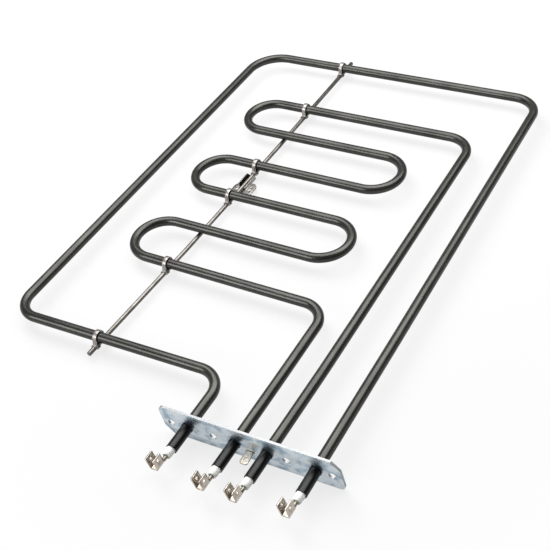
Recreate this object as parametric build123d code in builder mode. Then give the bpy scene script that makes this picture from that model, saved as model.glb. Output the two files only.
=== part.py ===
from build123d import *

import os
from math import atan, cos, degrees, radians, tan

os.makedirs("parts", exist_ok=True)

# Two-circuit tubular heating element: an outer loop and an inner serpentine on one flange.
# Millimetres. The origin is the middle of the flange's mounting face, level with the tube axes.
# +X runs along the flange, +Y from the flange to the far end of the loops, +Z is up.

# Fits
FIT = 0.02                      # between pieces that are pressed or wound together
TUBE_HOLE_CLEARANCE = 0.2       # around each tube in the flange, as the legs pass it at a slant

# Sheathed tube, the same stock in both circuits
TUBE_DIAMETER = 6.5
TUBE_WALL = 0.6
TUBE_SIDES = 12                 # flats around the tube, so that its many bends stay light
TUBE_RADIUS = TUBE_DIAMETER / 2
TUBE_CORNER_RADIUS = TUBE_RADIUS / cos(radians(180 / TUBE_SIDES))
BORE_RADIUS = TUBE_RADIUS - TUBE_WALL

# How the circuits lie on the flange
CIRCUIT_SKEW = 1.95             # degrees by which the circuits lean from square to the flange
OUTER_LEG_X = 38.7              # legs of the outer loop, each side of the middle
INNER_LEG_X = 9.7               # legs of the serpentine, each side of the middle

# Outer loop, along the circuits' own directions
NEAR_RUN_Y = 39.8               # where the near run meets the left leg
NEAR_RUN_FALL = 4.6             # how much nearer its other end lies
LEFT_RUN_X = -193.8
FAR_RUN_Y = 358.9
OUTER_BENDS = [15.8, 16.1, 23.6, 19.1]

# Serpentine: rows, the reach of the turns between them, and the two corners at the legs
ROWS_Y = [109.5, 147.4, 185.8, 222.3, 261.5, 297.3]
TURNS_X = [-160.8, -22.6, -160.4, -20.7, -160.4]
INNER_BENDS = [15.9, 18.15]
INNER_LEG_DRIFT = [1.1, 1.8]    # sideways run of each leg by the time it reaches its row

# Cold ends and terminals, measured along each leg from the mounting face
COLD_END = 15.5                 # sheath in front of the flange
BEAD_LENGTH = 5.2               # bead in front of the sheath
BEAD_SEAT = 2.0                 # bead inside the sheath
BEAD_TIP_DIAMETER = 4.3
PIN_DIAMETER = 2.3
PIN_DEPTH = 20.0                # pin behind the mounting face, up to the heated length
PIN_RADIUS = PIN_DIAMETER / 2

# Flag terminals: a strip folded to a U, open upwards
TAB_LENGTH = 6.3
TAB_SHEET = 0.8
TAB_WIDTH = 5.4                 # outside of the folded base
TAB_HEIGHT = 7.6
TAB_FRONT = 29.5                # front edge of the tab, from the mounting face
TAB_OFFSETS = [-2.0, -1.8, -1.6, -1.4]   # middle of each base, sideways from its pin
TAB_DROP = 2.25                 # underside of the base, below the pin's axis
TAB_LEAN = 5.2                  # degrees
TAB_SPLAY = [10.5, -7.9]        # degrees, left and right blade
TAB_BEND = 1.2                  # outside radius of the fold
TAB_HOLE_DIAMETER = 1.7
TAB_HOLE_HEIGHT = 5.0
TAB_CORNER = 0.3                # cut off the top corners of both blades

# Flange plate
FLANGE_THICKNESS = 1.5
FLANGE_HALF_LENGTH = 55.5
FLANGE_HEIGHT = 20.0
FLANGE_RISE = 1.5               # middle of the plate above the tube axes
FLANGE_SHOULDER = 53.3          # where the slanted end meets the cut corner
FLANGE_SHOULDER_DROP = 4.7      # that point, from the plate's middle height
FLANGE_CUT = 48.2               # where the cut corner meets the long edge
FLANGE_CORNER = 3.0
SCREW_HOLE_DIAMETER = 4.4
SCREW_HOLE_Z = 0.5
OUTER_SCREW_X = 48.4
INNER_SCREW_X = 22.0

# Earth tab, a flat blade through a slot in the flange, welded to the flange's back
EARTH_WIDTH = 4.8
EARTH_SHEET = 0.8
EARTH_LENGTH = 8.5
EARTH_TOP = -1.9
EARTH_X = 0.3
EARTH_LEG = 6.5                 # height of the leg behind the flange
EARTH_BEND = 1.0
EARTH_HOLE_DIAMETER = 1.8
EARTH_TIP = 0.9
SLOT_CLEARANCE = 0.35

# Support rod under the rows
ROD_DIAMETER = 3.0
ROD_GAP = 0.05
ROD_X = [-128.5, -124.6, -122.5, -121.8]
ROD_Y = [26.0, 131.0, 252.0, 374.5]
ROD_CHANNEL_SIDES = 8           # flats that the clips' feet are pressed to, around the rod
ROD_RADIUS = ROD_DIAMETER / 2
ROD_Z = -(TUBE_RADIUS + ROD_RADIUS + ROD_GAP)

# Strap clips over the tubes, with a hat-shaped foot on the rod at each end
STRAP_WIDTH = 2.8
STRAP_SHEET = 0.5
STRAP_CLEARANCE = 0.6           # between the strap's arch and the tube
STRAP_FOOT = 4.9                # middle of a leg's lower end, from the tube's axis
SADDLE_LENGTH = 3.2
SADDLE_REACH = 5.6              # outer end of a saddle, from the tube's axis
SADDLE_BRIM = 2.7               # half the width across a saddle's brims

# Centre bracket on the rod
BRACKET_Y = 203.0
BRACKET_ROLL = 8.0              # degrees, right ear up
BRACKET_SHEET = 0.8
EAR_HALF_WIDTH = 9.2
EAR_NEAR = 9.5
EAR_FAR = 5.5
EAR_ROUND = 5.0
EAR_NEAR_ROUND = 2.5
EAR_HOLE_DIAMETER = 3.4
EAR_HOLE_X = 5.2
EAR_HOLE_Y = -1.5
CHANNEL_NEAR = 2.0
CHANNEL_FAR = 12.5
CHANNEL_RISE = 1.0              # walls above the rod's axis


# Frame of the circuits

LAYOUT = Plane.XY.rotated((0, 0, -CIRCUIT_SKEW))


def lay(x, y, z=0.0):
    """A point given along the circuits' own directions."""
    return LAYOUT.from_local_coords(Vector(x, y, z))


OUTER_CORNERS = [
    lay(-OUTER_LEG_X, NEAR_RUN_Y),
    lay(LEFT_RUN_X, NEAR_RUN_Y - NEAR_RUN_FALL),
    lay(LEFT_RUN_X, FAR_RUN_Y),
    lay(OUTER_LEG_X, FAR_RUN_Y),
]
INNER_CORNERS = [
    lay(-INNER_LEG_X + INNER_LEG_DRIFT[0], ROWS_Y[0]),
    lay(INNER_LEG_X + INNER_LEG_DRIFT[1], ROWS_Y[-1]),
]


def leg_plane(x, corner):
    """Plane of a leg: origin on the mounting face, local Y along the leg, local Z up."""
    foot = Vector(x, 0, 0)
    run = (corner - foot).normalized()
    return Plane(origin=foot, x_dir=run.cross(Vector(0, 0, 1)), z_dir=(0, 0, 1))


LEGS = [
    leg_plane(-OUTER_LEG_X, OUTER_CORNERS[0]),
    leg_plane(-INNER_LEG_X, INNER_CORNERS[0]),
    leg_plane(INNER_LEG_X, INNER_CORNERS[1]),
    leg_plane(OUTER_LEG_X, OUTER_CORNERS[3]),
]


def on_leg(leg, y):
    """The point of a leg's axis at a distance behind the mounting face."""
    return leg.from_local_coords(Vector(0, y, 0))


def outer_route(y):
    """Axis of the outer loop, from and to a distance behind the mounting face."""
    with BuildLine() as route:
        FilletPolyline(on_leg(LEGS[0], y), *OUTER_CORNERS, on_leg(LEGS[3], y), radius=OUTER_BENDS)
    return route.wire()


def inner_route(y):
    """Axis of the serpentine, from and to a distance behind the mounting face."""
    with BuildLine() as route:
        start = on_leg(LEGS[1], y)
        corner = INNER_CORNERS[0]
        for i, reach in enumerate(TURNS_X):
            radius = (ROWS_Y[i + 1] - ROWS_Y[i]) / 2
            side = 1 if i % 2 == 0 else -1
            row_end = lay(reach + side * radius, ROWS_Y[i])
            if i == 0:
                row = FilletPolyline(start, corner, row_end, radius=INNER_BENDS[0])
            else:
                row = Line(start, row_end)
            turn = JernArc(start=row_end, tangent=row % 1, radius=radius, arc_size=-180 * side)
            start = turn @ 1
        FilletPolyline(start, INNER_CORNERS[1], on_leg(LEGS[2], y), radius=INNER_BENDS[1])
    return route.wire()


def start_of(route):
    """Plane across the start of a route."""
    return Plane(origin=route @ 0, z_dir=route % 0)


def across(leg, y):
    """Plane across a leg at a distance behind the mounting face, facing away from the flange."""
    return Plane(origin=on_leg(leg, y), x_dir=leg.x_dir, z_dir=leg.y_dir * -1)


def turned(plane, direction, angle):
    """The plane turned by degrees about a direction through its own origin."""
    about = Axis(plane.origin, direction)
    return Plane(
        origin=plane.origin,
        x_dir=plane.x_dir.rotate(about, angle),
        z_dir=plane.z_dir.rotate(about, angle),
    )


def flats(radius):
    """Outline with as many flats as the tube, each at a distance from the axis."""
    return RegularPolygon(radius, TUBE_SIDES, major_radius=False, rotation=180 / TUBE_SIDES)


# Sheathed tubes, bent to the routes. The wall, the magnesia and the coil in it are pressed into
# one solid section. Each end is bored for its pin, and opens to the wall where the bead sits.

CIRCUITS = {
    "outer": (outer_route(-COLD_END), [LEGS[0], LEGS[3]]),
    "inner": (inner_route(-COLD_END), [LEGS[1], LEGS[2]]),
}

for name, (route, legs) in CIRCUITS.items():
    with BuildPart() as sheath:
        with BuildSketch(start_of(route)) as section:
            flats(TUBE_RADIUS)
        sweep(path=route)
        section_volume = section.sketch.area * route.length
        print(f"{name} sheath: length {route.length:.1f}, volume {sheath.part.volume / section_volume:.5f}")
        for leg in legs:
            with BuildSketch(across(leg, PIN_DEPTH)):
                flats(PIN_RADIUS + FIT)
            extrude(amount=PIN_DEPTH + COLD_END, mode=Mode.SUBTRACT)
            with BuildSketch(across(leg, BEAD_SEAT - COLD_END + FIT)):
                flats(BORE_RADIUS)
            extrude(amount=2 * BEAD_SEAT, mode=Mode.SUBTRACT)
    sheath.part.label = f"{name}_sheath"
    export_step(sheath.part, f"parts/{name}_sheath.step")


# Beads, pins and flag terminals of the four cold ends

def tab_plane(leg):
    """Plane across a terminal at its front edge: origin under the middle of its base, leaning with it."""
    offset_x = TAB_OFFSETS[LEGS.index(leg)]
    seat = leg.from_local_coords(Vector(offset_x, -TAB_FRONT, -TAB_DROP))
    upright_plane = Plane(origin=seat, x_dir=leg.x_dir, z_dir=leg.y_dir * -1)
    return turned(upright_plane, upright_plane.z_dir, TAB_LEAN)


for number, leg in enumerate(LEGS, start=1):
    front = tab_plane(leg)
    blade_slope = tan(radians(TAB_SPLAY[1]))
    weld_face = TAB_WIDTH / 2 - (TAB_SHEET + FIT) / cos(radians(TAB_SPLAY[1]))

    with BuildPart() as bead:
        with BuildSketch(across(leg, BEAD_SEAT - COLD_END)):
            flats(BORE_RADIUS - FIT)
        extrude(amount=BEAD_SEAT)
        taper = atan((BORE_RADIUS - FIT - BEAD_TIP_DIAMETER / 2) / BEAD_LENGTH)
        with BuildSketch(across(leg, -COLD_END)):
            flats(BORE_RADIUS - FIT)
        extrude(amount=BEAD_LENGTH, taper=degrees(taper))
        with BuildSketch(across(leg, 0)):
            flats(PIN_RADIUS + FIT)
        extrude(amount=2 * TAB_FRONT, mode=Mode.SUBTRACT)
    bead.part.label = f"ceramic_bead_{number}"
    export_step(bead.part, f"parts/ceramic_bead_{number}.step")

    with BuildPart() as pin:
        with BuildSketch(across(leg, PIN_DEPTH - FIT)):
            Circle(PIN_RADIUS)
        extrude(amount=PIN_DEPTH + TAB_FRONT - TAB_SHEET)
        with BuildSketch(front.offset(-TAB_LENGTH - FIT)):
            with BuildLine():
                Polyline(
                    (-TAB_WIDTH, TAB_BEND + FIT),
                    (weld_face + TAB_BEND * blade_slope, TAB_BEND + FIT),
                    (weld_face + TAB_HEIGHT * blade_slope, TAB_HEIGHT),
                    (TAB_WIDTH, TAB_HEIGHT),
                    (TAB_WIDTH, 0),
                    (-TAB_WIDTH, 0),
                    close=True,
                )
            make_face()
        extrude(amount=TAB_LENGTH + FIT, mode=Mode.SUBTRACT)
    pin.part.label = f"terminal_pin_{number}"
    export_step(pin.part, f"parts/terminal_pin_{number}.step")

    with BuildPart() as tab:
        with BuildSketch(front):
            with BuildLine():
                fold = FilletPolyline(
                    (-TAB_WIDTH / 2 - TAB_HEIGHT * tan(radians(TAB_SPLAY[0])), TAB_HEIGHT),
                    (-TAB_WIDTH / 2, 0),
                    (TAB_WIDTH / 2, 0),
                    (TAB_WIDTH / 2 + TAB_HEIGHT * tan(radians(TAB_SPLAY[1])), TAB_HEIGHT),
                    radius=TAB_BEND,
                )
                offset(fold, amount=TAB_SHEET, side=Side.LEFT)
            make_face()
        extrude(amount=-TAB_LENGTH)
        tips = tab.edges().filter_by(Axis(front.origin, front.x_dir), tolerance=12)
        chamfer(tips.sort_by(Axis(front.origin, front.y_dir))[-4:], TAB_CORNER)
        hole_plane = Plane(
            origin=front.from_local_coords(Vector(0, TAB_HOLE_HEIGHT, -TAB_LENGTH / 2)),
            z_dir=front.x_dir,
        )
        with BuildSketch(hole_plane):
            Circle(TAB_HOLE_DIAMETER / 2)
        extrude(amount=TAB_WIDTH, both=True, mode=Mode.SUBTRACT)
    tab.part.label = f"flag_terminal_{number}"
    export_step(tab.part, f"parts/flag_terminal_{number}.step")


# Flange plate

FACE = Plane(origin=(0, 0, FLANGE_RISE), x_dir=(1, 0, 0), z_dir=(0, -1, 0))
SLOT_WIDTH = EARTH_WIDTH + 2 * SLOT_CLEARANCE
SLOT_HEIGHT = EARTH_SHEET + 2 * SLOT_CLEARANCE
SLOT_Z = EARTH_TOP - EARTH_SHEET / 2

with BuildPart() as flange:
    half_height = FLANGE_HEIGHT / 2
    with BuildSketch(FACE) as plate:
        with BuildLine():
            left_end = [
                (-FLANGE_HALF_LENGTH, half_height),
                (-FLANGE_SHOULDER, -FLANGE_SHOULDER_DROP),
                (-FLANGE_CUT, -half_height),
            ]
            right_end = [(-x, -z) for x, z in left_end]
            Polyline(*left_end, *right_end, close=True)
        make_face()
        points = plate.vertices().sort_by(Axis.X)
        fillet([points[0], points[-1]], FLANGE_CORNER)
    extrude(amount=-FLANGE_THICKNESS)
    with BuildSketch(Plane.XZ.offset(FLANGE_THICKNESS)):
        for half_spacing in (OUTER_SCREW_X, INNER_SCREW_X):
            with Locations((0, SCREW_HOLE_Z)), GridLocations(2 * half_spacing, 0, 2, 1):
                Circle(SCREW_HOLE_DIAMETER / 2)
        with Locations(*[leg.origin for leg in LEGS]):
            Circle(TUBE_CORNER_RADIUS + TUBE_HOLE_CLEARANCE)
        with Locations((EARTH_X, SLOT_Z)):
            Rectangle(SLOT_WIDTH, SLOT_HEIGHT)
    extrude(amount=-3 * FLANGE_THICKNESS, mode=Mode.SUBTRACT)
flange.part.label = "flange_plate"
export_step(flange.part, "parts/flange_plate.step")


# Earth tab: a blade through the slot, and a leg welded to the back of the flange

with BuildPart() as earth_tab:
    back = FLANGE_THICKNESS + FIT
    with BuildSketch(Plane.YZ.offset(EARTH_X)):
        with BuildLine():
            bend = FilletPolyline(
                (-EARTH_LENGTH, EARTH_TOP - EARTH_SHEET),
                (back + EARTH_SHEET, EARTH_TOP - EARTH_SHEET),
                (back + EARTH_SHEET, EARTH_TOP + EARTH_LEG),
                radius=EARTH_BEND,
            )
            offset(bend, amount=EARTH_SHEET, side=Side.LEFT)
        make_face()
    extrude(amount=EARTH_WIDTH / 2, both=True)
    tip = earth_tab.edges().filter_by(Axis.Z).group_by(Axis.Y)[0]
    chamfer(tip, EARTH_TIP)
    with BuildSketch(Plane.XY.offset(EARTH_TOP)):
        with Locations((EARTH_X, -EARTH_LENGTH * 0.6)):
            Circle(EARTH_HOLE_DIAMETER / 2)
    extrude(amount=-2 * EARTH_SHEET, mode=Mode.SUBTRACT)
earth_tab.part.label = "earth_tab"
export_step(earth_tab.part, "parts/earth_tab.step")


# Support rod

with BuildPart() as rod:
    with BuildLine() as rod_line:
        Polyline(*[lay(x, y, ROD_Z) for x, y in zip(ROD_X, ROD_Y)])
    with BuildSketch(start_of(rod_line.wire())):
        Circle(ROD_RADIUS)
    sweep(path=rod_line.wire(), transition=Transition.RIGHT)
rod.part.label = "support_rod"
export_step(rod.part, "parts/support_rod.step")


def rod_plane(y):
    """Plane at the rod's axis: local Y along the rod, local Z up."""
    stretch = max(i for i in range(len(ROD_Y) - 1) if i == 0 or ROD_Y[i] <= y)
    near = lay(ROD_X[stretch], ROD_Y[stretch], ROD_Z)
    far = lay(ROD_X[stretch + 1], ROD_Y[stretch + 1], ROD_Z)
    run = (far - near).normalized()
    share = (y - ROD_Y[stretch]) / (ROD_Y[stretch + 1] - ROD_Y[stretch])
    return Plane(origin=near + (far - near) * share, x_dir=run.cross(Vector(0, 0, 1)), z_dir=(0, 0, 1))


def upright(plane):
    """The same place with the sketch standing across local Y, X kept, and Y of the sketch up."""
    return Plane(origin=plane.origin, x_dir=plane.x_dir, z_dir=plane.y_dir * -1)


def rod_channel(sheet):
    """Outline pressed around the rod, a sheet thickness outside the fit."""
    sides = ROD_CHANNEL_SIDES
    return RegularPolygon(ROD_RADIUS + FIT + sheet, sides, major_radius=False, rotation=180 / sides)


# Strap clips

CLIPPED_RUNS = {
    "strap_clip_near_run": (NEAR_RUN_Y, -NEAR_RUN_FALL / (LEFT_RUN_X + OUTER_LEG_X)),
    "strap_clip_row_1": (ROWS_Y[0], 0.0),
    "strap_clip_row_3": (ROWS_Y[2], 0.0),
    "strap_clip_row_4": (ROWS_Y[3], 0.0),
    "strap_clip_row_6": (ROWS_Y[5], 0.0),
    "strap_clip_far_run": (FAR_RUN_Y, 0.0),
}

for name, (run_y, slope) in CLIPPED_RUNS.items():
    at_rod = LAYOUT.to_local_coords(rod_plane(run_y).origin)
    axis_y = run_y + slope * (at_rod.X + OUTER_LEG_X)
    at_rod = LAYOUT.to_local_coords(rod_plane(axis_y).origin)
    run_dir = (lay(1, slope) - lay(0, 0)).normalized()
    seat = Plane(origin=lay(at_rod.X, axis_y), x_dir=run_dir, z_dir=(0, 0, 1))
    side_view = Plane(origin=seat.origin, x_dir=seat.y_dir, z_dir=seat.x_dir)
    inside = TUBE_RADIUS + STRAP_CLEARANCE

    with BuildPart() as clip:
        with BuildSketch(side_view):
            for radius, thickness, mode in (
                (inside + STRAP_SHEET, STRAP_SHEET / 2, Mode.ADD),
                (inside, -STRAP_SHEET / 2, Mode.SUBTRACT),
            ):
                with BuildLine():
                    arch = CenterArc((0, 0), radius, 0, 180)
                    foot_y = STRAP_FOOT + thickness
                    foot_z = ROD_Z + ROD_RADIUS / 2
                    Polyline(arch @ 1, (-foot_y, foot_z), (foot_y, foot_z), arch @ 0)
                make_face(mode=mode)
        extrude(amount=STRAP_WIDTH / 2, both=True)
        for end in (-1, 1):
            with BuildSketch(upright(rod_plane(axis_y + end * SADDLE_REACH))):
                rod_channel(STRAP_SHEET)
                with Locations((0, -ROD_DIAMETER - STRAP_SHEET / 2)):
                    Rectangle(2 * ROD_DIAMETER, 2 * ROD_DIAMETER, mode=Mode.SUBTRACT)
                Rectangle(2 * SADDLE_BRIM, STRAP_SHEET)
            extrude(amount=end * SADDLE_LENGTH)
        with BuildSketch(upright(rod_plane(axis_y - 2 * SADDLE_REACH))):
            rod_channel(0)
        extrude(amount=-4 * SADDLE_REACH, mode=Mode.SUBTRACT)
    clip.part.label = name
    export_step(clip.part, f"parts/{name}.step")


# Centre bracket: two drilled ears and a channel that holds the rod

ROD_SEAT = rod_plane(BRACKET_Y)
BRACKET = turned(ROD_SEAT, ROD_SEAT.y_dir, -BRACKET_ROLL)
FLOOR = -(ROD_RADIUS + FIT)

with BuildPart() as bracket:
    channel = ROD_RADIUS + FIT + BRACKET_SHEET
    with BuildSketch(BRACKET.offset(FLOOR)) as ears:
        with BuildLine():
            Polyline(
                (-EAR_HALF_WIDTH, -EAR_NEAR),
                (EAR_HALF_WIDTH, -EAR_NEAR),
                (EAR_HALF_WIDTH, EAR_FAR),
                (-EAR_HALF_WIDTH, EAR_FAR),
                close=True,
            )
        make_face()
        fillet(ears.vertices().group_by(Axis.Y)[-1], EAR_ROUND)
        fillet(ears.vertices().group_by(Axis.Y)[0], EAR_NEAR_ROUND)
    extrude(amount=-BRACKET_SHEET)
    with BuildSketch(upright(BRACKET).offset(-CHANNEL_FAR)) as section:
        with BuildLine():
            Polyline(
                (-channel, CHANNEL_RISE),
                (-channel, FLOOR - BRACKET_SHEET),
                (channel, FLOOR - BRACKET_SHEET),
                (channel, CHANNEL_RISE),
                close=True,
            )
        make_face()
    extrude(amount=CHANNEL_FAR + CHANNEL_NEAR)
    with BuildSketch(upright(BRACKET).offset(-2 * CHANNEL_FAR)):
        Circle(ROD_RADIUS + FIT)
        with Locations((0, TUBE_DIAMETER / 2)):
            Rectangle(2 * (ROD_RADIUS + FIT), TUBE_DIAMETER)
    extrude(amount=4 * CHANNEL_FAR, mode=Mode.SUBTRACT)
    with BuildSketch(BRACKET.offset(FLOOR)):
        with Locations((-EAR_HOLE_X, EAR_HOLE_Y), (EAR_HOLE_X, EAR_HOLE_Y)):
            Circle(EAR_HOLE_DIAMETER / 2)
    extrude(amount=-2 * BRACKET_SHEET, mode=Mode.SUBTRACT)
bracket.part.label = "centre_bracket"
export_step(bracket.part, "parts/centre_bracket.step")
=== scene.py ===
"""Looks of a tubular heating element: a loop and a serpentine of dark sheathed tube on a zinc flange."""

import logging
import math
from collections.abc import Sequence
from dataclasses import dataclass, field
from enum import Enum
from typing import Any

import bmesh
import bpy
from mathutils import Matrix, Vector


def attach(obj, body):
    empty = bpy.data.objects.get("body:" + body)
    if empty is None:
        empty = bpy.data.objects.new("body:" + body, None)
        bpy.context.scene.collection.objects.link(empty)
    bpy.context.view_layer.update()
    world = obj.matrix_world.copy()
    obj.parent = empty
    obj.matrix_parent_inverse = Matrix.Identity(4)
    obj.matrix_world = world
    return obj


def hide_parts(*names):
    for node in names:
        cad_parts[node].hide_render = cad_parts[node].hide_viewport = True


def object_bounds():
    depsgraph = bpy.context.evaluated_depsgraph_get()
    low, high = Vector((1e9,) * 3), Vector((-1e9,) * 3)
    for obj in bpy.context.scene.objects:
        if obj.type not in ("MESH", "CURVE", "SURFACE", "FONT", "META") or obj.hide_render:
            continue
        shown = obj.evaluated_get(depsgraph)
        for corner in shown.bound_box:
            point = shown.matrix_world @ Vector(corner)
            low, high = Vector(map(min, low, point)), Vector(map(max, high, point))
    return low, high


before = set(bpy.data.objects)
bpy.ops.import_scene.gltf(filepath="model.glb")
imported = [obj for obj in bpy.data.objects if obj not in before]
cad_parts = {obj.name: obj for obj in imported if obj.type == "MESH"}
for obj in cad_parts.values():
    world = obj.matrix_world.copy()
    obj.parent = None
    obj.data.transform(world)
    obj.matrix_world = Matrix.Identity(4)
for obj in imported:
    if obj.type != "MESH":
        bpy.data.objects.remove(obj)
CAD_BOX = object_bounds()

logging.basicConfig(level=logging.INFO, format="%(message)s")
log = logging.getLogger("heating_element")

MM = 0.001
FINE_RELIEF = 0.05 * MM
Colour = tuple[float, float, float]


# Node graphs


class Value:
    """A number in a node graph, whose operators add Math nodes."""

    def __init__(self, graph: "Graph", socket: bpy.types.NodeSocket) -> None:
        """Wraps a socket.

        Args:
            graph: The graph that the socket belongs to.
            socket: The output that carries the number.
        """
        self.graph = graph
        self.socket = socket

    def __add__(self, other: "Value | float") -> "Value":
        """The sum of two values."""
        return self.graph.maths("ADD", self, other)

    __radd__ = __add__

    def __mul__(self, other: "Value | float") -> "Value":
        """The product of two values."""
        return self.graph.maths("MULTIPLY", self, other)

    __rmul__ = __mul__

    def __sub__(self, other: "Value | float") -> "Value":
        """This value less the other."""
        return self.graph.maths("SUBTRACT", self, other)

    def __rsub__(self, other: "Value | float") -> "Value":
        """The other value less this one."""
        return self.graph.maths("SUBTRACT", other, self)

    def least(self, other: "Value | float") -> "Value":
        """The smaller of two values."""
        return self.graph.maths("MINIMUM", self, other)

    def most(self, other: "Value | float") -> "Value":
        """The larger of two values."""
        return self.graph.maths("MAXIMUM", self, other)

    def stepped(self, low: float, high: float) -> "Value":
        """Puts the value through a soft step.

        Args:
            low: Where the step is still 0.
            high: Where it has reached 1.

        Returns:
            The step's value.
        """
        settings = {"interpolation_type": "SMOOTHSTEP"}
        inputs = {"Value": self, "From Min": low, "From Max": high}
        step = self.graph.node("ShaderNodeMapRange", settings, inputs)
        return Value(self.graph, step.outputs["Result"])


class Graph:
    """A node tree that is filled node by node."""

    def __init__(self, tree: bpy.types.NodeTree) -> None:
        """Starts on an empty tree.

        Args:
            tree: The tree of a material, a world or a geometry modifier.
        """
        self.tree = tree
        tree.nodes.clear()

    def node(
        self,
        kind: str,
        settings: dict[str, Any] | None = None,
        inputs: dict[str | int, Any] | None = None,
    ) -> bpy.types.Node:
        """Adds a node.

        Args:
            kind: The node's type name.
            settings: Its own settings, set first.
            inputs: A number, colour, socket or Value for each input, by name or place.

        Returns:
            The new node.
        """
        node = self.tree.nodes.new(kind)
        for name, setting in (settings or {}).items():
            setattr(node, name, setting)
        for key, given in (inputs or {}).items():
            source = given.socket if isinstance(given, Value) else given
            if isinstance(source, bpy.types.NodeSocket):
                self.tree.links.new(source, node.inputs[key])
            else:
                node.inputs[key].default_value = source
        return node

    def maths(self, operation: str, a: "Value | float", b: "Value | float" = 0.0) -> Value:
        """Adds a Math node and gives its result."""
        kind = "ShaderNodeMath"
        return Value(self, self.node(kind, {"operation": operation}, {0: a, 1: b}).outputs[0])

    def mix(self, factor: "Value | float", low: Any, high: Any) -> bpy.types.NodeSocket:
        """Mixes two colours.

        Args:
            factor: 0 for low, 1 for high.
            low: A colour or a colour socket.
            high: A colour or a colour socket.

        Returns:
            The mixed colour.
        """
        low, high = (c if isinstance(c, bpy.types.NodeSocket) else (*c, 1.0) for c in (low, high))
        inputs = {"Factor": factor, 6: low, 7: high}
        return self.node("ShaderNodeMix", {"data_type": "RGBA"}, inputs).outputs[2]

    def stored(
        self,
        geometry: bpy.types.NodeSocket,
        name: str,
        given: "Value | bpy.types.NodeSocket",
        kind: str = "FLOAT",
        domain: str = "POINT",
    ) -> bpy.types.NodeSocket:
        """Writes a field to an attribute, in a geometry tree.

        Args:
            geometry: What carries the attribute.
            name: The attribute's name.
            given: The field.
            kind: Its data type.
            domain: What it is written on.

        Returns:
            The geometry with its attribute.
        """
        settings = {"data_type": kind, "domain": domain}
        inputs = {"Geometry": geometry, "Name": name, "Value": given}
        return self.node("GeometryNodeStoreNamedAttribute", settings, inputs).outputs[0]


class Shader(Graph):
    """The node graph of one material."""

    def __init__(self, name: str) -> None:
        """Makes the material.

        Args:
            name: The material's name.
        """
        self.material = bpy.data.materials.new(name)
        self.material.use_nodes = True
        super().__init__(self.material.node_tree)
        self.place = self.node("ShaderNodeTexCoord")

    def noise(
        self,
        scale: float,
        stretch: Colour = (1.0, 1.0, 1.0),
        detail: float = 3.0,
        source: str = "Object",
    ) -> Value:
        """Noise on the piece's own coordinates.

        Args:
            scale: Waves per unit of the coordinates.
            stretch: A factor on each coordinate.
            detail: Octaves.
            source: "Object" or "UV".

        Returns:
            The noise, about 0.5 in the middle.
        """
        mapping = {"Vector": self.place.outputs[source], "Scale": stretch}
        mapped = self.node("ShaderNodeMapping", None, mapping)
        inputs = {"Vector": mapped.outputs[0], "Scale": scale, "Detail": detail}
        return Value(self, self.node("ShaderNodeTexNoise", None, inputs).outputs["Fac"])

    def axis(self, letter: str) -> Value:
        """One Object coordinate of the piece."""
        split = self.node("ShaderNodeSeparateXYZ", None, {0: self.place.outputs["Object"]})
        return Value(self, split.outputs[letter])

    def attribute(self, name: str) -> Value:
        """A number that the mesh carries."""
        return Value(self, self.node("ShaderNodeAttribute", {"attribute_name": name}).outputs["Fac"])

    def bump(self, height: Value, strength: float, distance: float) -> bpy.types.NodeSocket:
        """A normal bent by a height."""
        inputs = {"Height": height, "Strength": strength, "Distance": distance}
        return self.node("ShaderNodeBump", None, inputs).outputs[0]

    def finish(self, **inputs: Any) -> bpy.types.Material:
        """Closes the graph with a Principled BSDF.

        Args:
            **inputs: Its inputs, with underscores for the spaces in their names.

        Returns:
            The material.
        """
        named = {name.replace("_", " "): given for name, given in inputs.items()}
        bsdf = self.node("ShaderNodeBsdfPrincipled", None, named)
        self.node("ShaderNodeOutputMaterial", None, {"Surface": bsdf.outputs[0]})
        return self.material


# Finishes


@dataclass(frozen=True)
class HeatDarkenedSteel:
    """Oxidised sheath: olive grey with faint drawn streaks, and black in front of the flange.

    Attributes:
        dark: The hot part between its lighter clouds.
        light: Those clouds.
        cold: The black cold end.
        roughness: The least roughness.
        metallic: How metallic the hot part is; the cold end isn't.
        refraction: Index of refraction.
        streak_scale: Streaks per metre of tube.
        cloud_scale: Clouds per metre.
        cold_edge: Where black turns to grey, in millimetres behind the mounting face.
        grain: Strength of the streaks' relief.
    """

    dark: Colour = (0.037, 0.0365, 0.034)
    light: Colour = (0.078, 0.077, 0.071)
    cold: Colour = (0.002, 0.002, 0.0015)
    roughness: float = 0.25
    metallic: float = 0.75
    refraction: float = 1.38
    streak_scale: float = 30.0
    cloud_scale: float = 60.0
    cold_edge: tuple[float, float] = (-0.2, 1.0)
    grain: float = 0.05

    def material(self) -> bpy.types.Material:
        """Makes the material, with its streaks on the UV, which runs along the tube and around it.

        Returns:
            The material.
        """
        s = Shader("heat_darkened_steel")
        streaks = s.noise(self.streak_scale, (1.2, 0.5, 1.0), 3.0, "UV")
        clouds = s.noise(self.cloud_scale)
        tone = (streaks * 0.8 + clouds * 0.6 - 0.2).stepped(0.15, 0.85)
        hot = s.axis("Y").stepped(*(place * MM for place in self.cold_edge))
        colour = s.mix(tone, self.dark, self.light)
        return s.finish(
            Base_Color=s.mix(hot, self.cold, colour),
            Metallic=self.metallic * hot,
            IOR=self.refraction,
            Roughness=self.roughness + streaks * 0.06 + (1 - hot) * 0.04,
            Normal=s.bump(streaks, self.grain, FINE_RELIEF),
        )


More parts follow.
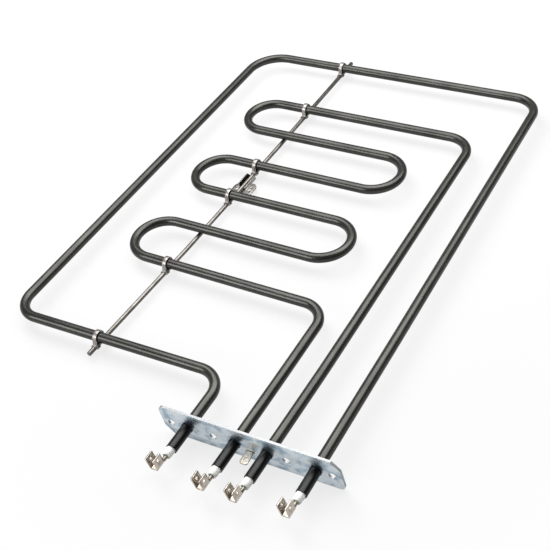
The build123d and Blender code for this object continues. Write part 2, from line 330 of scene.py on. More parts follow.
@dataclass(frozen=True)
class ZincPlate:
    """Bright blue-white zinc on the flange, with clouds and faint rolling lines.

    Attributes:
        base: The blue-grey between the clouds.
        cloud: The pale clouds.
        sheared: The cut edges, on the faces that the mesh marks.
        roughness: The least roughness.
        cloud_scale: Clouds per metre.
        line_scale: Lines per metre.
        relief: Strength and depth, in millimetres, of the uneven coat.
    """

    base: Colour = (0.38, 0.50, 0.60)
    cloud: Colour = (0.76, 0.84, 0.89)
    sheared: Colour = (0.44, 0.45, 0.46)
    roughness: float = 0.24
    cloud_scale: float = 130.0
    line_scale: float = 300.0
    relief: tuple[float, float] = (0.30, 0.3)

    def material(self) -> bpy.types.Material:
        """Makes the material, on Object coordinates.

        Returns:
            The material.
        """
        s = Shader("zinc_plate")
        clouds = s.noise(self.cloud_scale, (1.0, 1.0, 1.3), 5.0)
        lines = s.noise(self.line_scale, (0.15, 1.0, 3.0), 3.0)
        cut = s.attribute("cut_edge")
        tone = (clouds * 1.3 + lines * 0.2 - 0.22).stepped(0.34, 0.60)
        strength, depth = self.relief
        return s.finish(
            Base_Color=s.mix(cut, s.mix(tone, self.base, self.cloud), self.sheared),
            Metallic=1.0,
            Roughness=self.roughness + clouds * 0.12 + lines * 0.08 + cut * 0.25,
            Normal=s.bump(clouds * 0.8 + lines * 0.2, strength, depth * MM),
        )


@dataclass(frozen=True)
class PlatedStrip:
    """Warm nickel or tin plate of terminals, pins and earth tab.

    Attributes:
        name: The material's name.
        base: The clean plate.
        stain: Its stains.
        roughness: The least roughness.
        stain_scale: Stains per metre.
        scratch_scale: Scratches per metre.
        grain: Strength of the scratches' relief.
    """

    name: str = "plated_strip"
    base: Colour = (0.70, 0.65, 0.59)
    stain: Colour = (0.42, 0.36, 0.29)
    roughness: float = 0.22
    stain_scale: float = 420.0
    scratch_scale: float = 900.0
    grain: float = 0.12

    def material(self) -> bpy.types.Material:
        """Makes the material, on Object coordinates.

        Returns:
            The material.
        """
        s = Shader(self.name)
        stains = s.noise(self.stain_scale, detail=4.0)
        scratches = s.noise(self.scratch_scale, (1.0, 0.2, 1.0), 3.0)
        return s.finish(
            Base_Color=s.mix(stains.stepped(0.35, 0.8), self.base, self.stain),
            Metallic=1.0,
            Roughness=self.roughness + scratches * 0.16,
            Normal=s.bump(scratches, self.grain, FINE_RELIEF),
        )


@dataclass(frozen=True)
class Stainless:
    """Stainless wire and strip, with near-black painted shade on the marked inner face of the bracket's left
    wall.

    Attributes:
        name: The material's name.
        base: The clean metal.
        dull: Its duller patches.
        roughness: The least roughness.
        painted_shade: Painted shade, near black, on the inner face of the bracket's left wall.
        patch_scale: Patches per metre.
    """

    name: str = "stainless_strip"
    base: Colour = (0.43, 0.405, 0.385)
    dull: Colour = (0.35, 0.325, 0.305)
    roughness: float = 0.38
    painted_shade: Colour = (0.012, 0.012, 0.012)
    patch_scale: float = 140.0

    def material(self) -> bpy.types.Material:
        """Makes the material, on Object coordinates.

        Returns:
            The material.
        """
        s = Shader(self.name)
        patches = s.noise(self.patch_scale, detail=2.0)
        plain = s.mix(patches.stepped(0.35, 0.7), self.base, self.dull)
        # Painted shade: near black on the marked inner face of the bracket's left wall.
        colour = s.mix(s.attribute("painted_shade"), plain, self.painted_shade)
        return s.finish(Base_Color=colour, Metallic=1.0, Roughness=self.roughness + patches * 0.08)


@dataclass(frozen=True)
class UnglazedCeramic:
    """Off-white steatite of the beads.

    Attributes:
        base: The clean body.
        dust: Its darker specks.
        roughness: The least roughness.
        speck_scale: Specks per metre.
        grain: Strength of the specks' relief.
    """

    base: Colour = (0.66, 0.66, 0.635)
    dust: Colour = (0.52, 0.51, 0.48)
    roughness: float = 0.55
    speck_scale: float = 900.0
    grain: float = 0.2

    def material(self) -> bpy.types.Material:
        """Makes the material, on Object coordinates.

        Returns:
            The material.
        """
        s = Shader("unglazed_ceramic")
        specks = s.noise(self.speck_scale, detail=3.0)
        return s.finish(
            Base_Color=s.mix(specks.stepped(0.55, 0.8), self.base, self.dust),
            Roughness=self.roughness + specks * 0.2,
            Normal=s.bump(specks, self.grain, FINE_RELIEF),
        )


class Finish(Enum):
    """The finishes of the element, each with the record's slot and its maker."""

    TUBE = ("oxidised_steel", HeatDarkenedSteel())
    FLANGE = ("zinc_plate", ZincPlate())
    STRIP = ("plated_steel", PlatedStrip())
    PIN = ("plated_steel", PlatedStrip("pin_steel", (0.42, 0.38, 0.33), (0.24, 0.21, 0.18), 0.30))
    EARTH = ("plated_steel", PlatedStrip("beige_plate", (0.50, 0.46, 0.40), (0.42, 0.375, 0.31), 0.36))
    STAINLESS = ("stainless", Stainless())
    WIRE = ("stainless", Stainless("stainless_wire", (0.24, 0.225, 0.21), (0.17, 0.16, 0.145), 0.34))
    CERAMIC = ("ceramic", UnglazedCeramic())


class Workshop:
    """Makes the materials once and hands pieces to the frame."""

    def __init__(self) -> None:
        """Makes every material."""
        self.materials = {finish: finish.value[1].material() for finish in Finish}

    def hand_over(self, mesh: bpy.types.Mesh, name: str, finish: Finish, *nodes: str) -> bpy.types.Object:
        """Places a finished mesh and lets it stand for its nodes.

        Args:
            mesh: The mesh, in place.
            name: The piece's name.
            finish: Its finish.
            *nodes: The nodes it replaces.

        Returns:
            The piece.
        """
        mesh.materials.clear()
        mesh.materials.append(self.materials[finish])
        piece = bpy.data.objects.new(name, mesh)
        bpy.context.collection.objects.link(piece)
        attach(piece, "root")
        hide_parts(*nodes)
        log.info("%s: %d faces", name, len(mesh.polygons))
        return piece


# Mesh tools


def plain_mesh(holder: bpy.types.Object) -> bpy.types.Mesh:
    """Takes the evaluated mesh of an object, which is then removed.

    Args:
        holder: The object, with its modifiers.

    Returns:
        The mesh.
    """
    bpy.context.view_layer.update()
    graph = bpy.context.evaluated_depsgraph_get()
    mesh = bpy.data.meshes.new_from_object(holder.evaluated_get(graph))
    holder.modifiers.clear()
    bpy.data.objects.remove(holder)
    return mesh


def refined(node: str, edge: float, sharp: float = 32.0) -> bpy.types.Mesh:
    """A copy of a node's mesh with merged corners, rounded edges and smooth curves.

    Args:
        node: The node to copy.
        edge: Width of the rounding, in millimetres.
        sharp: Angle in degrees above which an edge is rounded or kept sharp.

    Returns:
        The mesh.
    """
    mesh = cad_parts[node].data.copy()
    cage = bmesh.new()
    cage.from_mesh(mesh)
    bmesh.ops.remove_doubles(cage, verts=cage.verts, dist=0.002 * MM)
    bmesh.ops.dissolve_limit(cage, angle_limit=math.radians(0.6), verts=cage.verts, edges=cage.edges)
    cage.to_mesh(mesh)
    cage.free()
    holder = bpy.data.objects.new(node + "_cage", mesh)
    bpy.context.collection.objects.link(holder)
    rounding = holder.modifiers.new("rounding", "BEVEL")
    rounding.width = edge * MM
    rounding.segments = 2
    rounding.limit_method = "ANGLE"
    rounding.angle_limit = math.radians(sharp)
    result = plain_mesh(holder)
    result.shade_smooth()
    result.set_sharp_from_angle(angle=math.radians(sharp))
    return result


def turned_shape(
    profile: Sequence[tuple[float, float]],
    base: Matrix,
    steps: int = 48,
    sharp: float = 40.0,
) -> bpy.types.Mesh:
    """A closed shape turned about the local Y of a place.

    Args:
        profile: Distance from the axis and place along it, in millimetres, all round.
        base: Where the shape's origin and axes lie.
        steps: Faces around.
        sharp: Angle in degrees above which an edge stays sharp.

    Returns:
        The mesh, smooth where its profile is.
    """
    shape = bmesh.new()
    ring = [shape.verts.new((r * MM, y * MM, 0.0)) for r, y in profile]
    edges = [shape.edges.new((a, b)) for a, b in zip(ring, ring[1:] + ring[:1])]
    axis = {"cent": (0, 0, 0), "axis": (0, 1, 0), "angle": 2 * math.pi, "steps": steps}
    bmesh.ops.spin(shape, geom=ring + edges, use_merge=True, **axis)
    bmesh.ops.remove_doubles(shape, verts=shape.verts, dist=0.001 * MM)
    bmesh.ops.recalc_face_normals(shape, faces=shape.faces)
    shape.transform(base)
    mesh = bpy.data.meshes.new("turned")
    shape.to_mesh(mesh)
    shape.free()
    mesh.shade_smooth()
    mesh.set_sharp_from_angle(angle=math.radians(sharp))
    return mesh


# The element


@dataclass
class Layout:
    """Where the loops run, in millimetres, as the element was bent.

    Runs and rows lie across the element and legs along it, in the loops' own directions.

    Attributes:
        skew: How far these directions are turned from the flange's, in degrees.
        outer_leg: The outer legs' distance from the middle.
        inner_leg: The inner legs' distance from the middle.
        near_run: Where the outer loop's near run starts, from the mounting face.
        near_fall: How much nearer that run ends.
        left_run: Place of the outer loop's left side.
        far_run: Place of its far run.
        outer_bends: Its bend radii, in order.
        rows: Places of the serpentine's rows.
        turns: How far its half turns reach, in order.
        inner_bends: Radii of its first and last bend.
        inner_drift: How far its legs have drifted sideways at their bends.
        straight_cold_end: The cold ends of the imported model, in front of the mounting face.
        cold_ends: The cold ends as they were cut, from the left.
        strays: For each leg its shift at the face, its widest stray, and where that is.
    """

    skew: float = 1.95
    outer_leg: float = 38.7
    inner_leg: float = 9.7
    near_run: float = 39.8
    near_fall: float = 4.6
    left_run: float = -193.8
    far_run: float = 358.9
    outer_bends: tuple[float, ...] = (15.8, 16.1, 23.6, 19.1)
    rows: tuple[float, ...] = (109.5, 147.4, 185.8, 222.3, 261.5, 297.3)
    turns: tuple[float, ...] = (-160.8, -22.6, -160.4, -20.7, -160.4)
    inner_bends: tuple[float, float] = (15.9, 18.15)
    inner_drift: tuple[float, float] = (1.1, 1.8)
    straight_cold_end: float = 15.5
    cold_ends: tuple[float, ...] = (15.5, 17.5, 17.5, 15.5)
    strays: tuple[tuple[float, float, float], ...] = (
        (0.0, 0.0, 20.0),
        (0.55, 0.45, 50.0),
        (0.60, 1.20, 65.0),
        (0.10, 0.35, 100.0),
    )

    def lay(self, x: float, y: float) -> Vector:
        """A point given along the loops' own directions."""
        return Matrix.Rotation(-math.radians(self.skew), 3, "Z") @ Vector((x, y, 0.0))

    def outer_corners(self) -> list[Vector]:
        """Corners of the outer loop, without its ends."""
        return [
            self.lay(-self.outer_leg, self.near_run),
            self.lay(self.left_run, self.near_run - self.near_fall),
            self.lay(self.left_run, self.far_run),
            self.lay(self.outer_leg, self.far_run),
        ]

    def inner_corners(self) -> list[Vector]:
        """Lists the corners of the serpentine, two for each half turn.

        Returns:
            The corners, in millimetres, without the ends.
        """
        corners = [self.lay(self.inner_drift[0] - self.inner_leg, self.rows[0])]
        for reach, near, far in zip(self.turns, self.rows, self.rows[1:]):
            corners += [self.lay(reach, near), self.lay(reach, far)]
        return corners + [self.lay(self.inner_leg + self.inner_drift[1], self.rows[-1])]

    def inner_radii(self) -> list[float]:
        """Bend radii at the serpentine's corners."""
        halves = [(far - near) / 2 for near, far in zip(self.rows, self.rows[1:])]
        return [self.inner_bends[0], *(r for half in halves for r in (half, half)), self.inner_bends[1]]

    @staticmethod
    def place(foot: Vector, target: Vector) -> Matrix:
        """A place with local Y towards a target and local Z up.

        Args:
            foot: Its origin, in millimetres.
            target: What it faces, in millimetres.

        Returns:
            The place, in metres.
        """
        run = (target - foot).normalized()
        turn = Matrix((run.cross(Vector((0, 0, 1))), run, Vector((0, 0, 1)))).transposed().to_4x4()
        return Matrix.Translation(foot * MM) @ turn

    def straight_leg(self, number: int) -> Matrix:
        """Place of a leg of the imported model: origin on the mounting face, local Y away from the terminals.

        Args:
            number: 1 to 4, from the left.

        Returns:
            The place, in metres.
        """
        outer, inner = self.outer_corners(), self.inner_corners()
        feet = (-self.outer_leg, -self.inner_leg, self.inner_leg, self.outer_leg)
        corner = (outer[0], inner[0], inner[-1], outer[-1])[number - 1]
        return self.place(Vector((feet[number - 1], 0.0, 0.0)), corner)

    def bow(self, number: int) -> Vector:
        """The point, in millimetres, where a leg strays most from its straight line."""
        stray, distance = self.strays[number - 1][1:]
        return self.straight_leg(number) @ Vector((stray * MM, distance * MM, 0.0)) / MM

    def leg(self, number: int) -> Matrix:
        """Place of a leg as it was bent, from its foot towards its bow."""
        foot = self.straight_leg(number) @ Vector((self.strays[number - 1][0] * MM, 0.0, 0.0)) / MM
        return self.place(foot, self.bow(number))

    def end_point(self, number: int) -> Vector:
        """The cut end of a leg, in millimetres."""
        return self.leg(number) @ Vector((0.0, -self.cold_ends[number - 1] * MM, 0.0)) / MM

    def moved_end(self, number: int) -> Matrix:
        """What moves a piece from the end of a straight leg to that of the leg as it was bent and cut.

        Args:
            number: 1 to 4, from the left.

        Returns:
            The move, in metres.
        """
        longer = self.cold_ends[number - 1] - self.straight_cold_end
        slide = Matrix.Translation((0.0, -longer * MM, 0.0))
        return self.leg(number) @ slide @ self.straight_leg(number).inverted()

    @staticmethod
    def bent(corners: Sequence[Vector], radii: Sequence[float], step: float = 4.0) -> list[Vector]:
        """Rounds the corners of a line.

        Args:
            corners: The line's points, its ends among them.
            radii: The radius at each point between the ends.
            step: Degrees between points on a bend.

        Returns:
            The points of the bent line.
        """
        line = [corners[0]]
        for before, corner, after, radius in zip(corners, corners[1:], corners[2:], radii):
            inward = (before - corner).normalized()
            outward = (after - corner).normalized()
            turn = math.pi - inward.angle(outward)
            start = corner + inward * radius * math.tan(turn / 2)
            centre = corner + (inward + outward).normalized() * radius / math.cos(turn / 2)
            spoke = start - centre
            way = 1.0 if inward.cross(outward).z < 0 else -1.0
            count = max(2, round(math.degrees(turn) / step))
            turns = [Matrix.Rotation(way * turn * i / count, 3, "Z") for i in range(count + 1)]
            line += [centre + part_turn @ spoke for part_turn in turns]
        line.append(corners[-1])
        return [b for a, b in zip([line[0] + Vector((1, 0, 0))] + line, line) if (a - b).length > 0.01]


@dataclass
class BentTubes:
    """Both sheathed tubes, swept round along their routes.

    Attributes:
        layout: Where they run.
        radius: Outer radius, in millimetres, as all sizes here.
        bore: Radius of the seat for the bead.
        seat: Depth of that seat.
        sides: Faces around.
        lip: Rounding of the cut end.
        rim_inside: How far the rim's ring reaches into the tube's wall.
        bow_radius: Bend radius where a leg strays most.
        sharp: Angle in degrees above which an edge stays sharp.
    """

    layout: Layout
    radius: float = 3.25
    bore: float = 2.65
    seat: float = 2.0
    sides: int = 48
    lip: float = 0.15
    rim_inside: float = 0.3
    bow_radius: float = 1200.0
    sharp: float = 50.0

    def sweeper(self, material: bpy.types.Material) -> bpy.types.NodeTree:
        """Geometry nodes that sweep a round tube along a line.

        The UV map holds metres from the nearer end, and the share of the way around.

        Args:
            material: The tube's material.

        Returns:
            The node tree, with inputs Radius and Sides.
        """
        tree = bpy.data.node_groups.new("round_tube", "GeometryNodeTree")
        face = tree.interface
        face.new_socket("Geometry", in_out="INPUT", socket_type="NodeSocketGeometry")
        face.new_socket("Radius", in_out="INPUT", socket_type="NodeSocketFloat")
        face.new_socket("Sides", in_out="INPUT", socket_type="NodeSocketInt")
        face.new_socket("Geometry", in_out="OUTPUT", socket_type="NodeSocketGeometry")
        g = Graph(tree)
        given = g.node("NodeGroupInput").outputs
        line = g.node("GeometryNodeMeshToCurve", None, {"Mesh": given["Geometry"]})
        parameter = g.node("GeometryNodeSplineParameter").outputs
        total = Value(g, g.node("GeometryNodeSplineLength").outputs["Length"])
        from_start = Value(g, parameter["Length"])
        to_end = from_start.least(total - from_start)
        along = g.stored(line.outputs[0], "along", to_end)
        sizes = {"Resolution": given["Sides"], "Radius": given["Radius"]}
        circle = g.node("GeometryNodeCurvePrimitiveCircle", None, sizes)
        around = g.stored(circle.outputs[0], "around", parameter["Factor"])
        swept = g.node("GeometryNodeCurveToMesh", None, {"Curve": along, "Profile Curve": around})
        u, v = (
            g.node("GeometryNodeInputNamedAttribute", {"data_type": "FLOAT"}, {"Name": name}).outputs[0]
            for name in ("along", "around")
        )
        uv = g.node("ShaderNodeCombineXYZ", None, {"X": u, "Y": v})
        mapped = g.stored(swept.outputs[0], "UVMap", uv.outputs[0], "FLOAT2", "CORNER")
        smooth = g.node("GeometryNodeSetShadeSmooth", None, {"Geometry": mapped})
        real = g.node("GeometryNodeRealizeInstances", None, {"Geometry": smooth.outputs[0]})
        dressing = {"Geometry": real.outputs[0], "Material": material}
        dressed = g.node("GeometryNodeSetMaterial", None, dressing)
        g.node("NodeGroupOutput", None, {"Geometry": dressed.outputs[0]})
        return tree

    def swept(self, name: str, line: Sequence[Vector], tree: bpy.types.NodeTree) -> bpy.types.Mesh:
        """Sweeps one tube.

        Args:
            name: The tube's name.
            line: Its bent centre line, in millimetres.
            tree: The sweeping nodes.

        Returns:
            The open tube's mesh.
        """
        mesh = bpy.data.meshes.new(name + "_line")
        mesh.from_pydata([p * MM for p in line], [(i, i + 1) for i in range(len(line) - 1)], [])
        holder = bpy.data.objects.new(name + "_line", mesh)
        bpy.context.collection.objects.link(holder)
        sweep = holder.modifiers.new("sweep", "NODES")
        sweep.node_group = tree
        sizes = {"Radius": self.radius * MM, "Sides": self.sides}
        for item in tree.interface.items_tree:
            if item.name in sizes:
                sweep[item.identifier] = sizes[item.name]
        return plain_mesh(holder)

    def rim(self, number: int) -> bpy.types.Mesh:
        """The cut end of a tube: a softened lip and the seat of the bead.

        Args:
            number: 1 to 4, from the left.

        Returns:
            The rim's mesh.
        """
        lip, end = self.lip, -self.layout.cold_ends[number - 1]
        profile = [
            (self.radius, end + lip),
            (self.radius - lip * 0.3, end + lip * 0.3),
            (self.radius - lip, end),
            (self.bore + 0.1, end),
            (self.bore, end + 0.1),
            (self.bore, end + self.seat),
            (self.radius - self.rim_inside, end + self.seat),
            (self.radius - self.rim_inside, end + lip),
        ]
        return turned_shape(profile, self.layout.leg(number), self.sides)

    def build(self, shop: Workshop) -> None:
        """Makes both tubes.

        Args:
            shop: What dresses them.
        """
        tree = self.sweeper(shop.materials[Finish.TUBE])
        layout = self.layout
        runs = {
            "outer": (1, 4, layout.outer_corners(), layout.outer_bends),
            "inner": (2, 3, layout.inner_corners(), layout.inner_radii()),
        }
        for name, (first, last, corners, radii) in runs.items():
            ends = layout.end_point(first), layout.bow(first), layout.bow(last), layout.end_point(last)
            route = [*ends[:2], *corners, *ends[2:]]
            line = layout.bent(route, [self.bow_radius, *radii, self.bow_radius])
            line[0] = line[0] + (line[1] - line[0]).normalized() * self.lip
            line[-1] = line[-1] + (line[-2] - line[-1]).normalized() * self.lip
            tube = self.swept(name, line, tree)
            whole = bmesh.new()
            for part in (tube, self.rim(first), self.rim(last)):
                whole.from_mesh(part)
            whole.to_mesh(tube)
            whole.free()
            tube.shade_smooth()
            tube.set_sharp_from_angle(angle=math.radians(self.sharp))
            shop.hand_over(tube, f"{name}_tube", Finish.TUBE, f"{name}_sheath")


@dataclass
class ColdEnds:
    """Beads, pins and folded flag terminals at the four cold ends, in millimetres.

    Attributes:
        layout: Where the ends are.
        bead_radius: Radius of a bead in the tube.
        bead_tip: Radius of its tip.
        bead_length: How far it stands out of the tube.
        bead_taper: Length of its tapered part.
        bead_seat: How deep it sits in the tube.
        pin_radius: Radius of a pin.
        pin_gap: Play around the pin.
        pin_rounding: Rounding of a pin's edges.
        terminal_rounding: Rounding of a terminal's edges.
    """

    layout: Layout
    bead_radius: float = 2.6
    bead_tip: float = 2.15
    bead_length: float = 5.2
    bead_taper: float = 4.6
    bead_seat: float = 1.9
    pin_radius: float = 1.15
    pin_gap: float = 0.05
    pin_rounding: float = 0.05
    terminal_rounding: float = 0.12

    def bead(self, number: int) -> bpy.types.Mesh:
        """One bead, tapered towards its tip.

        Args:
            number: 1 to 4, from the left.

        Returns:
            The bead's mesh.
        """
        end = -self.layout.cold_ends[number - 1]
        back = end + self.bead_seat
        tip = end - self.bead_length
        hole = self.pin_radius + self.pin_gap
        profile = [
            (hole, back),
            (self.bead_radius, back),
            (self.bead_radius, tip + self.bead_taper),
            (self.bead_radius - 0.12, tip + self.bead_taper * 0.6),
            (self.bead_tip + 0.1, tip + 0.25),
            (self.bead_tip - 0.1, tip + 0.05),
            (self.bead_tip - 0.3, tip),
            (hole + 0.45, tip),
            (hole + 0.35, tip + 0.5),
            (hole, tip + 0.8),
        ]
        return turned_shape(profile, self.layout.leg(number))

    def build(self, shop: Workshop) -> None:
        """Makes the pieces of all four ends.

        Args:
            shop: What dresses them.
        """
        for number in (1, 2, 3, 4):
            shop.hand_over(self.bead(number), f"bead_{number}", Finish.CERAMIC, f"ceramic_bead_{number}")
            pin, tab = f"terminal_pin_{number}", f"flag_terminal_{number}"
            for node, name, rounding, finish in (
                (pin, "pin", self.pin_rounding, Finish.PIN),
                (tab, "terminal", self.terminal_rounding, Finish.STRIP),
            ):
                mesh = refined(node, rounding)
                mesh.transform(self.layout.moved_end(number))
                shop.hand_over(mesh, f"{name}_{number}", finish, node)


@dataclass
class Mounting:
    """Flange, earth tab, support rod, strap clips and centre bracket, in millimetres.

    Attributes:
        layout: Where the legs pass the flange.
        hole_reach: How far from a leg the flange moves with it.
        rod_at_bracket: The rod's sideways place and its height at the bracket.
        wall_outside: A place outside the bracket's left wall, from the rod's middle.
        wall_inside: A place within it; the right wall's is opposite.
        wall_top: Height above the rod's middle over which a wall changes.
        wall_far_end: A corner of a wall beyond this, in the legs' direction, is at its far end.
        wall_growth: How far the left wall's top moves sideways and up.
        wall_shortening: How far its far top corner moves back.
        right_wall_reach: A place outside the right wall, from the rod's middle.
        right_wall_drop: How far its top moves down.
        facing: How squarely a face of the left wall has to look inwards to be the inner one with painted
            shade.
        flange_rounding: Rounding of the flange's edges.
        blade_rounding: Rounding of the earth tab's edges.
        rod_rounding: Rounding of the rod's ends.
        bracket_rounding: Rounding of the bracket's edges.
        clip_rounding: Rounding of the clips' edges.
        clips: What each clip holds.
    """

    layout: Layout
    hole_reach: float = 4.4
    rod_at_bracket: tuple[float, float] = (-123.2, -4.8)
    wall_outside: float = -3.0
    wall_inside: float = -1.0
    wall_top: float = 0.5
    wall_far_end: float = 212.0
    wall_growth: tuple[float, float] = (-0.5, 2.4)
    wall_shortening: float = 2.4
    right_wall_reach: float = 3.2
    right_wall_drop: float = 1.3
    facing: float = 0.7
    flange_rounding: float = 0.18
    blade_rounding: float = 0.10
    rod_rounding: float = 0.25
    bracket_rounding: float = 0.06
    clip_rounding: float = 0.07
    clips: tuple[str, ...] = ("near_run", "row_1", "row_3", "row_4", "row_6", "far_run")

    def flange(self) -> bpy.types.Mesh:
        """The flange, with its tube holes moved along with the strayed legs.

        Returns:
            The mesh; "cut_edge" marks its sheared faces.
        """
        mesh = refined("flange_plate", self.flange_rounding)
        for number in (1, 2, 3, 4):
            hole = self.layout.straight_leg(number).translation
            move = self.layout.leg(number).translation - hole
            for corner in mesh.vertices:
                if math.hypot(corner.co.x - hole.x, corner.co.z) < self.hole_reach * MM:
                    corner.co += move
        cut = mesh.attributes.new("cut_edge", "FLOAT", "FACE")
        cut.data.foreach_set("value", [float(abs(face.normal.y) < 0.5) for face in mesh.polygons])
        return mesh

    def bracket(self) -> bpy.types.Mesh:
        """The bracket, with a taller, shorter left wall and a lower right wall.

        Returns:
            The mesh; "inside" marks the inner face of the left wall, which gets painted shade.
        """
        mesh = refined("centre_bracket", self.bracket_rounding)
        sideways, forwards = self.layout.lay(1.0, 0.0), self.layout.lay(0.0, 1.0)
        rod_side, rod_height = self.rod_at_bracket
        shift, rise = self.wall_growth
        for corner in mesh.vertices:
            side = corner.co.dot(sideways) / MM - rod_side
            high = corner.co.z / MM > rod_height + self.wall_top
            if side < self.wall_inside and high:
                if corner.co.dot(forwards) / MM > self.wall_far_end:
                    corner.co -= forwards * self.wall_shortening * MM
                corner.co += (sideways * shift + Vector((0.0, 0.0, rise))) * MM
            elif -self.wall_inside < side < self.right_wall_reach and high:
                corner.co.z -= self.right_wall_drop * MM
        # Marks the inner face of the left wall, which gets painted shade.
        painted_shade = mesh.attributes.new("painted_shade", "FLOAT", "FACE")
        for face, mark in zip(mesh.polygons, painted_shade.data):
            side = face.center.dot(sideways) / MM - rod_side
            looks_in = face.normal.dot(sideways) > self.facing
            mark.value = float(looks_in and self.wall_outside < side < self.wall_inside)
        return mesh

    def build(self, shop: Workshop) -> None:
        """Rounds and dresses each piece.

        Args:
            shop: What dresses them.
        """
        shop.hand_over(self.flange(), "flange", Finish.FLANGE, "flange_plate")
        blade = refined("earth_tab", self.blade_rounding)
        shop.hand_over(blade, "earth_blade", Finish.EARTH, "earth_tab")
        shop.hand_over(refined("support_rod", self.rod_rounding), "rod", Finish.WIRE, "support_rod")
        shop.hand_over(self.bracket(), "bracket", Finish.STAINLESS, "centre_bracket")
        for place in self.clips:
            node = f"strap_clip_{place}"
            clip = refined(node, self.clip_rounding)
            shop.hand_over(clip, f"clip_{place}", Finish.STAINLESS, node)


# The studio


@dataclass(frozen=True)
class SoftBox:
    """One soft box.

    Attributes:
        name: The lamp's name.
        compass: Where it stands, in degrees from +X towards +Y.
        rise: How high it stands, in degrees above the floor.
        away: Its distance from the element, in metres.
        roll: How far its face is turned about its own aim, in degrees.
        width: Its width, in metres.
        height: Its height, in metres.
        level: How bright its face is, where white paper in full light is about 1.
        mirrored: Whether shiny surfaces show it.
    """

    name: str
    compass: float
    rise: float
    away: float
    roll: float
    width: float
    height: float
    level: float
    mirrored: bool = True

    def hang(self, aim: Vector) -> None:
        """Puts the lamp in its place, facing a point.

        Args:
            aim: The point that it faces.
        """
        bearing, tilt = math.radians(self.compass), -math.radians(self.rise)
        turn = Matrix.Rotation(bearing, 3, "Z") @ Matrix.Rotation(tilt, 3, "Y")
        spot = turn @ Vector((self.away, 0.0, 0.0))
        light = bpy.data.lights.new(self.name, "AREA")
        light.shape = "RECTANGLE"
        light.size, light.size_y = self.width, self.height
        light.energy = self.level * math.pi * self.width * self.height
        holder = bpy.data.objects.new(self.name, light)
        holder.location = aim + spot
        holder.visible_glossy = self.mirrored
        facing = (-spot).to_track_quat("-Z", "Y").to_matrix()
        holder.rotation_euler = (facing @ Matrix.Rotation(math.radians(self.roll), 3, "Z")).to_euler()
        bpy.context.collection.objects.link(holder)


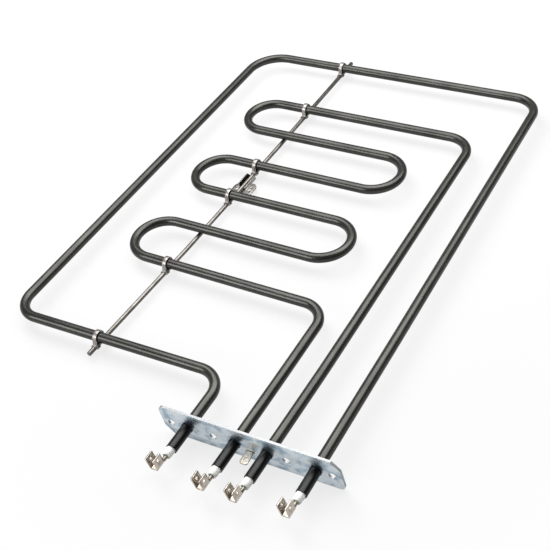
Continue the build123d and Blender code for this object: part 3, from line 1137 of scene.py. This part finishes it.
@dataclass
class Studio:
    """Pale floor, soft light from above and from the left, and the camera of the photograph.

    Attributes:
        floor_size: The floor's side, in metres.
        floor_gap: How far it lies below the element, in millimetres.
        floor_lift: How bright its own light is under the element and far from it.
        floor_lift_reach: Where that light starts to rise and where it is full, in metres.
        floor_mirrored: What is added to that light where a shiny surface shows the floor.
        floor_paper: Its colour to light that bounces off it.
        floor_shaded: Its colour to the camera and in shiny surfaces, on top of its own light.
        sky: How bright the surroundings are to all but the camera.
        lamps: The soft boxes.
        camera_place: Where the camera stands, in metres.
        right: Its sideways direction.
        up: Its upward direction.
        back: Its direction away from the picture.
        lens: Its focal length on a sensor 36 mm wide, in millimetres.
    """

    floor_size: float = 6.0
    floor_gap: float = 0.02
    floor_lift: tuple[float, float] = (0.785, 0.98)
    floor_lift_reach: tuple[float, float] = (0.15, 0.50)
    floor_mirrored: float = -0.22
    floor_paper: Colour = (0.60, 0.60, 0.60)
    floor_shaded: Colour = (0.085, 0.085, 0.085)
    sky: float = 0.10
    lamps: tuple[SoftBox, ...] = (
        SoftBox("overhead", 88.0, 69.5, 0.76, 24.0, 1.14, 0.78, 4.7),
        SoftBox("front_left", -120.0, 26.0, 1.8, 0.0, 1.2, 0.80, 5.9),
        SoftBox("back_left", 146.0, 37.0, 1.5, 0.0, 1.0, 0.80, 17.0, mirrored=False),
    )
    camera_place: Vector = field(default_factory=lambda: Vector((0.2126, -0.2656, 0.4185)))
    right: Colour = (0.88265, 0.45199, -0.12896)
    up: Colour = (-0.21992, 0.63961, 0.73657)
    back: Colour = (0.41540, -0.62178, 0.66395)
    lens: float = 66.06

    def floor(self, middle: Vector) -> None:
        """Lays a white floor that keeps the element's shadow and stays white to the picture's edge.

        Args:
            middle: The middle of the element, where the floor's own light is least.
        """
        s = Shader("studio_floor")
        rays = s.node("ShaderNodeLightPath").outputs
        seen = Value(s, rays["Is Camera Ray"]).most(Value(s, rays["Is Glossy Ray"]))
        seen = seen.most(Value(s, rays["Is Transmission Ray"]))
        paper = s.node("ShaderNodeBsdfDiffuse", None, {"Color": (*self.floor_paper, 1.0)})
        shaded = s.node("ShaderNodeBsdfDiffuse", None, {"Color": (*self.floor_shaded, 1.0)})
        across, along = s.axis("X") - middle.x, s.axis("Y") - middle.y
        spread = (across * across + along * along).stepped(*(reach ** 2 for reach in self.floor_lift_reach))
        lift = spread * (self.floor_lift[1] - self.floor_lift[0]) + self.floor_lift[0]
        lift = lift + Value(s, rays["Is Glossy Ray"]) * self.floor_mirrored
        glow = s.node("ShaderNodeEmission", None, {"Color": lift})
        lit = s.node("ShaderNodeAddShader", None, {0: shaded.outputs[0], 1: glow.outputs[0]})
        surface = s.node("ShaderNodeMixShader", None, {0: seen, 1: paper.outputs[0], 2: lit.outputs[0]})
        s.node("ShaderNodeOutputMaterial", None, {"Surface": surface.outputs[0]})
        height = CAD_BOX[0][2] - self.floor_gap * MM
        half = self.floor_size / 2
        mesh = bpy.data.meshes.new("floor")
        corners = ((-half, -half), (half, -half), (half, half), (-half, half))
        mesh.from_pydata([(x, y, height) for x, y in corners], [], [(0, 1, 2, 3)])
        mesh.materials.append(s.material)
        floor = bpy.data.objects.new("floor", mesh)
        bpy.context.collection.objects.link(floor)

    def surroundings(self) -> None:
        """Soft white light from all round, white to the camera."""
        world = bpy.data.worlds.new("studio")
        bpy.context.scene.world = world
        world.use_nodes = True
        g = Graph(world.node_tree)
        camera = Value(g, g.node("ShaderNodeLightPath").outputs["Is Camera Ray"])
        strength = self.sky + camera * (1.0 - self.sky)
        sky = g.node("ShaderNodeBackground", None, {"Color": (1, 1, 1, 1), "Strength": strength})
        g.node("ShaderNodeOutputWorld", None, {"Surface": sky.outputs[0]})

    def camera(self) -> None:
        """The camera that stands where the photograph was taken."""
        lens = bpy.data.cameras.new("camera")
        lens.sensor_width = 36.0
        lens.lens = self.lens
        lens.clip_start = 0.01
        holder = bpy.data.objects.new("camera", lens)
        turn = Matrix((self.right, self.up, self.back)).transposed().to_4x4()
        holder.matrix_world = Matrix.Translation(self.camera_place) @ turn
        bpy.context.collection.objects.link(holder)
        bpy.context.scene.camera = holder

    def build(self) -> None:
        """Sets up floor, light and camera."""
        middle = (Vector(CAD_BOX[0]) + Vector(CAD_BOX[1])) / 2
        self.floor(middle)
        self.surroundings()
        for lamp in self.lamps:
            lamp.hang(middle)
        self.camera()
        bpy.context.scene.view_settings.view_transform = "Standard"


def main() -> None:
    """Builds the element piece by piece, then the studio."""
    shop = Workshop()
    layout = Layout()
    for assembly in (BentTubes(layout), ColdEnds(layout), Mounting(layout)):
        assembly.build(shop)
        log.info("built %s", type(assembly).__name__)
    Studio().build()


if __name__ == "__main__":
    main()
